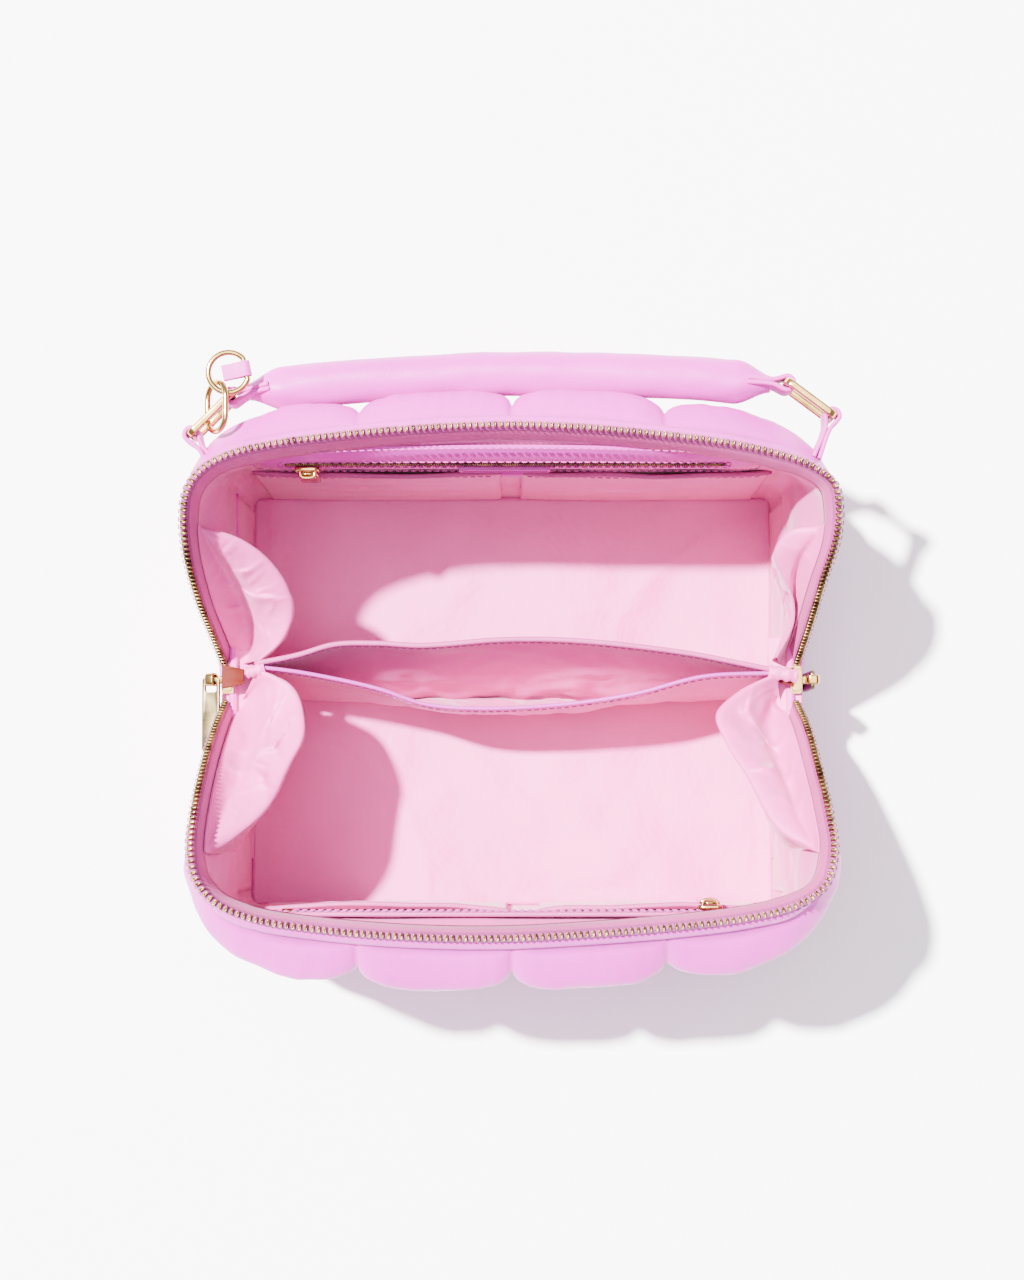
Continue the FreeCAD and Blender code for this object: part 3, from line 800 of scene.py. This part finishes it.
def zip_ends():
    """Folded leather tabs that close the ends of the main zip at the waist, coloured dark with painted shade."""
    tabs = []
    for side in (-1, 1):
        rings, around = 26, 24
        points = []
        for u in np.linspace(0, 1, rings):
            wide = (3.2 + 2.0 * u) * (1.0 if side < 0 else 0.8)
            x = side * (115.0 + (9.5 if side < 0 else 6.0) * u)
            ring = [(wide * signed_power(cos(a), 0.5), signed_power(sin(a), 0.6))
                    for a in np.linspace(0, 2 * pi, around, endpoint=False)]
            points.append([(x, 7 + y, 78.2 + z + 0.9 * cos(y * 1.3) * (1 - u) + 0.8 * sin(pi * u)) for y, z in ring])
        tab = grid_piece("tab", np.array(points), SHADED_TAB_LEATHER, closed_v=True)
        cap_ends(tab, rings, around)
        tabs.append(tab)
    piece = join("zip_end_leather_tabs", tabs)
    attach(piece, "outer_leather", "base", "zip_end_tabs")


# ----- pockets

def slip_pocket(half, name, x0, x1, top, gape, seed):
    """Open-topped pocket of lining cloth against a wall, its edge standing away in soft waves."""
    side = 1 if half == "rear" else -1
    body = half + "_half"
    title = half + "_slip_pocket_cloth_" + name
    low = 14

    def point(u, v):
        x = x0 + (x1 - x0) * u
        hold = sin(pi * u) ** 0.55
        edge = gape * hold * (0.82 + wobble((x, seed, 0), 0.035, 0.6))
        z = low + (top - low) * v - 2.2 * (1 - hold) * v
        y = 92.2 - edge * v ** 15 - 0.6 * hold
        y -= abs(wobble((x, seed, z), 0.04, 2.6)) * hold * sin(pi * v) ** 0.7
        return x, side * y, z

    points = grid(90, 40, point)
    piece = grid_piece(title, points, LINING)
    cloth_sheet(piece, 0.9, ((x1 - x0) * 1.03, top - low), "hung", half + "_lining_cloth", body,
                half + "_slip_pocket_" + name)
    attach(sweep(title + "_hem", points[:, -1] - UP * 0.9, rounded_box(1.9, 3.4, 0.8), FACING), "lining_cloth", body)
    sew = stitches(title + "_sewing", points[3:-3, -4] + np.array([0, -side * 0.75, 0]), (0, -side, 0.2))
    attach(sew, "lining_cloth", body)


def ring_plate(name, outer, inner, face_y, thickness, material, dome=0.5):
    """Flat plate in the XZ plane with a hole, its surface slightly domed and edges turned in."""
    count = 240
    loops = [closed_loop([(x, 0.0, z) for x, z in line], count) for line in (outer, inner)]
    levels = ((0.0, 0.0), (0.02, 0.8), (0.08, 1.0), (0.35, 1.0 + dome), (0.65, 1.0 + dome), (0.92, 1.0), (0.98, 0.8),
              (1.0, 0.0))
    points = np.zeros((len(levels), count, 3))
    for k, (share, lift) in enumerate(levels):
        points[k] = loops[0] + (loops[1] - loops[0]) * share
        points[k, :, 1] = face_y - thickness * lift + lean_of(points[k])
    return grid_piece(name, points, material, closed_v=True)


def lean_of(line):
    return np.array([wall_lean(x, z) for x, y, z in line])


def corner_rounded(corners, radius):
    """Outline with its corners cut by short arcs."""
    out = []
    count = len(corners)
    for i in range(count):
        a, b, c = (np.array(corners[(i + k) % count], float) for k in (-1, 0, 1))
        first = b + (a - b) / norm(a - b) * radius
        last = b + (c - b) / norm(c - b) * radius
        for t in (0, 0.25, 0.5, 0.75, 1):
            out.append(tuple((1 - t) ** 2 * first + 2 * t * (1 - t) * b + t ** 2 * last))
    return out


def from_corner(line):
    """The same closed outline, started at its lowest left point."""
    start = line.index(min(line, key=sum))
    return line[start:] + line[:start]


def pocket_zip(half, x0, x1, z):
    """Fine zip across a wall: tape and two rows of small interlocked teeth."""
    name = half + "_pocket_zip"
    side = 1 if half == "rear" else -1
    strip = sweep(name + "_tape", np.array([(x, side * (ZIP_FACE_Y + 0.9), z) for x in np.linspace(x0, x1, 60)]),
                  rounded_box(0.8, 7.0, 0.35), TAPE)
    attach(strip, "zip_tape", half + "_half")
    vertices, faces = [], []
    count = int((x1 - x0) / 0.95)
    for k in range(count):
        x = x0 + (k + 0.5) * (x1 - x0) / count
        seat = np.array([x, side * (ZIP_FACE_Y - 0.2), z + (0.32 if k % 2 else -0.32)])
        add_tooth(vertices, faces, seat, np.array([1.0, 0, 0]), UP, np.array([0, -side, 0]), 0.72)
    teeth = new_piece(name + "_teeth", np.array(vertices) * MM, faces, TEETH)
    attach(teeth, "zip_teeth", half + "_half", name)


def rear_pockets():
    outline = from_corner(corner_rounded([(-104, 123), (-96, 115.5), (92, 115.5), (100, 123), (100, 138), (92, 145.5),
                                          (-96, 145.5), (-104, 138)], 3.0))
    slot = from_corner(corner_rounded([(-94, 126.4), (88, 126.4), (88, 133.6), (-94, 133.6)], 1.2))
    surround = ring_plate("rear_pocket_leather_frame", outline, slot, 92.9, 1.3, LEATHER, 0.3)
    attach(surround, "outer_leather", "rear_half", "rear_pocket_frame")
    rows = []
    middle_x, middle_z = -2.0, 130.2
    for grow, line in ((-2.0, outline), (1.8, slot)):
        loop = np.array([(x + copysign(grow, x - middle_x), 91.2, z + copysign(grow, z - middle_z))
                         for x, z in line + line[:1]])
        loop = resample(loop, 400)
        loop[:, 1] += lean_of(loop)
        rows.append(stitches("row", loop, (0, -1, 0)))
    attach(join("rear_pocket_frame_sewing", rows), "outer_leather", "rear_half")
    pocket_zip("rear", -93.6, 87.6, 130)
    patch = corner_rounded([(-22, 117), (16, 117), (16, 125), (-22, 125)], 1.6)
    window = [(-3 + (x + 3) * 0.93, 121 + (z - 121) * 0.74) for x, z in patch]
    rim = ring_plate("label_leather_rim", patch, window, 91.2, 1.0, LEATHER_EDGE, 0.3)
    attach(rim, "outer_leather", "rear_half", "label_patch")
    field = grid(20, 6, lambda u, v: (-21 + 36 * u, 90.75, 117.8 + 6.4 * v))
    attach(thicken(grid_piece("label_blank_field", field, LEATHER), 0.6), "outer_leather", "rear_half")
    slip_pocket("rear", "left", -109, -5, 105, 1.6, 3)
    slip_pocket("rear", "right", 4, 109, 105, 1.8, 11)
    path = spline([(0, 91.4, 96), (0, 90.9, 102), (0, 90.6, 106), (0, 91.0, 108.2), (0, 92.0, 108.6)], 20)
    tab = sweep("rear_slip_leather_tab", path, rounded_box(9, 1.3, 0.5), LEATHER, up=(0, -1, 0.2))
    attach(tab, "outer_leather", "rear_half", "rear_slip_tab")


def plate(name, outline, origin, across, up, thickness, material, holes=(), bevel=0.35):
    """Flat plate with an outline of (across, up) in mm, optional holes, and bevelled edges."""
    across, up = (np.array(v, float) / norm(v) for v in (across, up))
    normal = np.cross(across, up)
    bm = bmesh.new()
    edges = []
    for line in (outline, *holes):
        ring = [bm.verts.new((np.array(origin) + across * a + up * b - normal * thickness / 2) * MM)
                for a, b in line]
        edges += [bm.edges.new((ring[k], ring[(k + 1) % len(ring)])) for k in range(len(ring))]
    filled = bmesh.ops.triangle_fill(bm, use_beauty=True, use_dissolve=False, edges=edges)["geom"]
    faces = [g for g in filled if isinstance(g, bmesh.types.BMFace)]
    raised = bmesh.ops.extrude_face_region(bm, geom=faces)["geom"]
    for vertex in (g for g in raised if isinstance(g, bmesh.types.BMVert)):
        vertex.co += Vector(normal * thickness * MM)
    bmesh.ops.recalc_face_normals(bm, faces=bm.faces)
    mesh = bpy.data.meshes.new(name)
    bm.to_mesh(mesh)
    bm.free()
    mesh.materials.append(material)
    piece = add_object(name, mesh)
    edge = piece.modifiers.new("edge", "BEVEL")
    edge.width = bevel * MM
    edge.segments = 3
    edge.limit_method = "ANGLE"
    bake(piece)
    for polygon in piece.data.polygons:
        polygon.use_smooth = True
    return piece


def pocket_slider(prefix, x, z, side):
    """Slider on a pocket zip: body with two shoulders and a bridge; an oval eye and a flat tab hang from it."""
    face = side * 90.2
    outline = [(-5, -3.0), (-3.2, -3.8), (3.4, -3.8), (5, -2.2), (5, 2.2), (3.4, 3.8), (-3.2, 3.8), (-5, 3.0)]
    body = plate("body", outline, (x, face - side * 0.9, z), (1, 0, 0), UP, 1.8, GOLD, bevel=0.5)
    arch = spline([(x - 3.2, face - side * 1.2, z), (x - 2.6, face - side * 3.6, z), (x, face - side * 4.3, z),
                   (x + 2.6, face - side * 3.6, z), (x + 3.2, face - side * 1.2, z)], 24)
    bridge = sweep("bridge", arch, rounded_box(2.6, 1.0, 0.4), GOLD, up=(0, -1.0, 0.001))
    slider = join(prefix + "_pocket_gold_slider", [body, bridge])
    attach(slider, "gold_metal", prefix + "_pocket_slider", prefix + "_pocket_slider")
    eye = rounded_box(7.6, 9.4, 3.4, 6)
    path = closed_loop([(x + a, face - side * 2.65, z - 3.6 + b) for a, b in eye], 80)
    loop = sweep("loop", path, circle(0.62, 10), GOLD, up=(0, -side, 0), closed=True)
    hole = corner_rounded([(-2, -9.6), (2, -9.6), (2, -7.8), (-2, -7.8)], 0.6)
    tab = plate("tab", corner_rounded([(-4, -22), (4, -22), (4, -6.6), (-4, -6.6)], 1.5), (x, face - side * 2.7, z),
                (1, 0, 0), UP, 1.3, GOLD, [hole])
    pull = join(prefix + "_pocket_gold_pull", [loop, tab])
    attach(pull, "gold_metal", prefix + "_pocket_pull", prefix + "_pocket_pull")


def main_sliders():
    """Main zip sliders at the waist with their long flat pulls; the left pull lies level, broad side up."""
    roll = radians(20)
    ways = {
        "left": (np.array([0.0, 1.0, 0.0]), np.array([-cos(roll), 0, -sin(roll)])),
        "right": (np.array([0.0, 0.0, 1.0]), np.array([0.0, 1.0, 0.0])),
    }
    outline = [(-2.5, -6), (2.1, -6), (2.6, -4), (2.6, 4), (2.1, 6), (-2.5, 6)]
    for name, sign in (("left", -1), ("right", 1)):
        spot = np.array([sign * SLIDER_X, SLIDER_Y, 0])
        parts = []
        for z, size in ((71.7, 1.0), (76.0, 0.8)):
            parts.append(plate("plate", corner_rounded([(a * size, b * size) for a, b in outline], 0.8),
                               spot + UP * z, (sign, 0, 0), (0, 1, 0), 1.7, GOLD, bevel=0.6))
        parts.append(plate("web", rounded_box(4.2, 3.2, 0.8), spot + UP * 74, (sign, 0, 0), (0, 1, 0), 5.0, GOLD))
        up, across = ways[name]
        pivot = np.array([sign * 129.6, SLIDER_Y, 73.9])
        normal = np.cross(across, up)
        path = closed_loop([pivot + up * a + normal * b for a, b in rounded_box(4.6, 4.6, 1.2, 6)], 60)
        parts.append(sweep("bridge", path, rounded_box(1.2, 3.8, 0.5), GOLD, up=across, closed=True))
        neck = np.array([(sign * x, SLIDER_Y, z) for x, z in ((124.0, 71.6), (126.5, 71.4), (129.0, 71.3))])
        parts.append(sweep("neck", neck, rounded_box(3.4, 1.2, 0.5), GOLD))
        slider = join("main_gold_slider_" + name, parts)
        attach(slider, "gold_metal", "base", "main_slider_" + name)
        body = corner_rounded([(-4, -31), (4, -31), (4, 0.9), (-4, 0.9)], 1.8)
        hole = corner_rounded([(-2.7, -5.5), (2.7, -5.5), (2.7, -0.9), (-2.7, -0.9)], 1.0)
        pull = plate("main_gold_pull_" + name, body, pivot, across, up, 1.6, PULL_GOLD_PAINTED_REFLECTION, [hole], bevel=0.5)
        attach(pull, "gold_metal", "main_pull_" + name, "main_pull_" + name)


def front_pockets():
    pocket_zip("front", -88, 90, 135)
    lips = []
    for z in (130.6, 139.4):
        line = np.array([(x, -91.9, z + 0.3 * sin(x * 0.07)) for x in np.linspace(-94, 94, 120)])
        lips.append(sweep("lip", line, rounded_box(2.0, 3.6, 0.9), FACING))
    attach(join("front_pocket_lips", lips), "lining_cloth", "front_half")
    rows = [stitches("row", np.array([(x, -90.7, z) for x in (-94, 0, 94)], float), (0, 1, 0))
            for z in (128.6, 141.4)]
    attach(join("front_pocket_sewing", rows), "lining_cloth", "front_half")
    line = np.array([(x, -91.2, 135) for x in (-92.6, -90.4, -88.2)])
    stop = sweep("front_pocket_stop", line, rounded_box(2.6, 7.2, 0.8), ROSE_GOLD)
    attach(stop, "gold_metal", "front_half")
    slip_pocket("front", "left", -109, -2, 108, 3.0, 21)
    slip_pocket("front", "right", 12, 109, 108, 2.4, 31)


# ----- handle and chain

# For each ring: centre, turn about the vertical, strap bar, tab bar, and where the strap meets the grip
RING_SPOTS = {
    "left": ((-122.0, 110.0, 139.0), 45.0, (-113.92, 118.08), (-130.08, 101.92), (-99.0, 122.2)),
    "right": ((121.0, 116.5, 139.0), 143.0, (111.88, 123.38), (130.12, 109.62), (96.0, 124.9)),
}


def loop_path(bar, tail, radius, z, spread=1.5):
    """Path of a strap that runs from a tail point round an upright bar and back."""
    bar, tail = np.array(bar, float), np.array(tail, float)
    d = (bar - tail) / norm(bar - tail)
    n = np.array([-d[1], d[0]])
    near = bar - d * min(norm(bar - tail) * 0.6, radius * 1.9)
    out = [tail + n * spread, near + n]
    for k in range(9):
        a = pi * k / 8
        out.append(bar + n * cos(a) * radius + d * sin(a) * radius)
    out += [near - n, tail - n * spread]
    return spline([(p[0], p[1], z) for p in out], 90)


def handle():
    line = spline([(-108, 120.8, 134), (-92, 122.8, 134), (-55, 126, 134), (-11, 128.3, 134), (28, 128.4, 134),
                   (67, 127, 134), (90, 125.4, 134), (106, 124.0, 134)], 260)
    rings, around = len(line), 48
    t = tangents(line)
    points = np.zeros((rings, around, 3))
    length = path_length(line)
    for i in range(rings):
        along = i / (rings - 1) * length
        near = min(along, length - along)
        pinch = smooth01(near / 15) ** 0.8
        side = np.cross(t[i], (0, 0, 1))
        for j in range(around):
            a = 2 * pi * j / around
            crease = 0.35 * exp(-((near - 12) / 9) ** 2) * sin(5 * a + near * 0.12)
            grain = wobble((line[i, 0] * 0.5, 9 * cos(a), 9 * sin(a)), 0.14, 0.35)
            groove = -0.6 * exp(-((sin((a + pi / 2) / 2)) / 0.07) ** 2)
            r = crease * pinch + grain + groove
            across, above = cos(a) * (3.4 + 5.6 * pinch + r), sin(a) * (6.4 + 2.7 * pinch + r)
            points[i, j] = line[i] + side * across + UP * above
    grip = grid_piece("handle_padded_grip", points, LEATHER, closed_v=True)
    cap_ends(grip, rings, around)
    attach(grip, "outer_leather", "handle", "handle_grip", "handle_core")
    attach(stitches("handle_grip_sewing", line[14:-14] - UP * 8.6, (0, 0, -1)), "outer_leather", "handle")
    for side, (middle, angle, strap_bar, tab_bar, grip_end) in RING_SPOTS.items():
        strap = sweep("handle_strap_loop_" + side, loop_path(strap_bar, grip_end, 2.9, 137.2, 1.0),
                      rounded_box(1.9, 12.6, 0.8), LEATHER_EDGE)
        attach(strap, "outer_leather", "handle", "handle_strap_" + side)
        root = (copysign(123.5, tab_bar[0]), 92.5)
        tab = sweep("ring_tab_loop_" + side, loop_path(tab_bar, root, 2.9, 139, 1.2),
                    rounded_box(1.8, 12.4, 0.8), LEATHER_EDGE)
        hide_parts("ring_tabs")
        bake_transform(tab)
        make_ring(side, middle, angle)


def make_ring(side, middle, angle):
    """Rectangular ring of square-edged bar with softened corners."""
    along = np.array([cos(radians(angle)), sin(radians(angle)), 0])
    outline = rounded_box(RING_WIDTH - RING_BAR, RING_HEIGHT - RING_BAR, 2.2, 6)
    path = closed_loop([np.array(middle) + along * u + UP * v for u, v in outline], 140)
    normal = np.cross(along, (0, 0, 1))
    ring = sweep("handle_ring_" + side, path, rounded_box(RING_BAR, 3.0, 0.75, 4), GOLD, up=normal, closed=True)
    attach(ring, "gold_metal", "ring_" + side, "ring_" + side)


def rotated(points, axis, degrees):
    turn = np.array(Matrix.Rotation(radians(degrees), 3, axis))
    return np.asarray(points, float) @ turn.T


def chain():
    """Oval link on the left ring, and a D-ring on it with a folded leather tab round its bar."""
    outline = closed_loop([(x, y + copysign(3.4, y), 0.0) for x, y in circle(6.6, 64)], 120)
    place = np.array([-119.5, 112.5, 139 + (RING_HEIGHT - RING_BAR) / 2 + 1.2])
    path = rotated(outline, "Y", -50) + place
    link = sweep("chain_oval_link", path, circle(1.2, 14), GOLD, up=rotated([(0, 0, 1)], "Y", -50)[0], closed=True)
    attach(link, "gold_metal", "chain_link", "chain_link")
    centre = np.array([-114.5, 126.2, 150.2])
    bow = [(8.2 * cos(radians(a)), 8.2 * sin(radians(a)), 0.0) for a in range(36, 325, 8)]
    bow += [(6.95, -4.35, 0.0), (6.95, 4.35, 0.0)]
    path = rotated(closed_loop(bow, 120), "Z", 12) + centre
    ring = sweep("chain_d_ring", path, circle(1.2, 14), GOLD, closed=True)
    attach(ring, "gold_metal", "d_ring", "d_ring")
    bend = [(6.95 + 1.75 * sin(a), 0.0, 1.75 * cos(a)) for a in np.linspace(0, pi, 9)]
    tail = [(-2.4, 0, 0.75), (3.0, 0, 1.0)] + bend + [(3.0, 0, -1.0), (-2.4, 0, -0.75)]
    path = rotated(spline(tail, 70), "Z", 12) + centre
    across = rotated([(0, 1, 0)], "Z", 12)[0]
    tab = sweep("chain_hang_tab", path, rounded_box(0.9, 6.4, 0.4), LEATHER_EDGE, up=across)
    attach(tab, "outer_leather", "d_ring", "hang_tab")


# ----- stage

def stage():
    camera_data = bpy.data.cameras.new("camera")
    camera_data.lens = 70.3
    camera_data.sensor_fit = "VERTICAL"
    camera_data.sensor_height = 36
    camera_data.dof.use_dof = False
    camera = add_object("camera", camera_data)
    camera.location = (0, -0.051, 1.15)
    camera.rotation_euler = (radians(3.94), 0, 0)
    bpy.context.scene.camera = camera
    floor_look = Look("pale_floor")
    set_inputs(floor_look.shader, Base_Color=(0.95, 0.95, 0.955, 1), Roughness=0.6)
    floor = new_piece("floor", [(-3, -3, 0), (3, -3, 0), (3, 3, 0), (-3, 3, 0)], [(0, 1, 2, 3)],
                      floor_look.material, False)
    floor.location.z = -0.0004
    for name, energy, degrees in (("key", 29.0, 2.5), ("overhead_fill", 3.2, 45)):
        light = bpy.data.lights.new(name, "SUN")
        light.energy = energy
        light.angle = radians(degrees)
        lamp = add_object(name, light)
        if name == "key":
            light.color = (1.0, 0.985, 0.96)
            lamp.rotation_euler = Vector(SUN_TRAVEL).to_track_quat("-Z", "Y").to_euler()
    world = bpy.data.worlds.new("studio")
    world.use_nodes = True
    set_inputs(world.node_tree.nodes["Background"], Color=(0.97, 0.99, 1.06, 1.0), Strength=0.62)
    bpy.context.scene.world = world


# ----- assembly

stage()
base_tray()
side_panels()
side_linings()
floor_lining()
rims = {"rear": shell("rear", REAR_RIM, 16.0, "rear_half"), "front": shell("front", FRONT_RIM, 20.0, "front_half")}
for prefix, rim_path in rims.items():
    zip_edge(prefix, rim_path, prefix + "_half")
    lining(prefix, rim_path, prefix + "_half")
gussets(rims)
divider()
zip_ends()
rear_pockets()
front_pockets()
pocket_slider("rear", -84, 130, 1)
pocket_slider("front", 80, 135, -1)
main_sliders()
handle()
chain()
